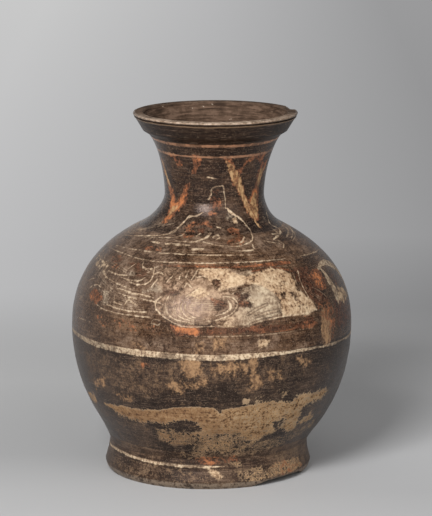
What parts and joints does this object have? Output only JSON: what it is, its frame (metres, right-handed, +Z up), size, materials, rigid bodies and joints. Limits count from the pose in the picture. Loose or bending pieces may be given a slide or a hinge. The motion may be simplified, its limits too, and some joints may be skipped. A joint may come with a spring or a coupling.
{
  "type": "hu vase",
  "caption": "Tall round-bellied pottery wine vase with a dished mouth band, a waisted neck and a hollow spreading foot ring, painted over a dark burnished slip.",
  "frame": {"origin": "on the ground, under the middle of the belly", "axes": "+Z up along the vase, -Y to the painted front that the picture shows, +X to its right"},
  "size_m": [0.3112, 0.3112, 0.4],
  "materials": {
    "foot": "matt grey earthenware, brown-black slip worn through to the clay, earth caught in the surface",
    "belly": "brown-black slip, burnished, with cream and tan painted bands worn thin",
    "painted_shoulder": "brown-black burnished slip under cold-painted cream and orange cloud scrolls, satin",
    "neck": "brown-black burnished slip with painted orange lines and hanging leaf points, satin",
    "mouth": "brown slip rubbed to pale clay along the lip, satin"
  },
  "bodies": {
    "root": {"foot_ring": "foot", "base_slab": "foot", "lower_belly": "belly", "shoulder": "painted_shoulder", "neck": "neck", "mouth_band": "mouth"}
  },
  "joints": []
}
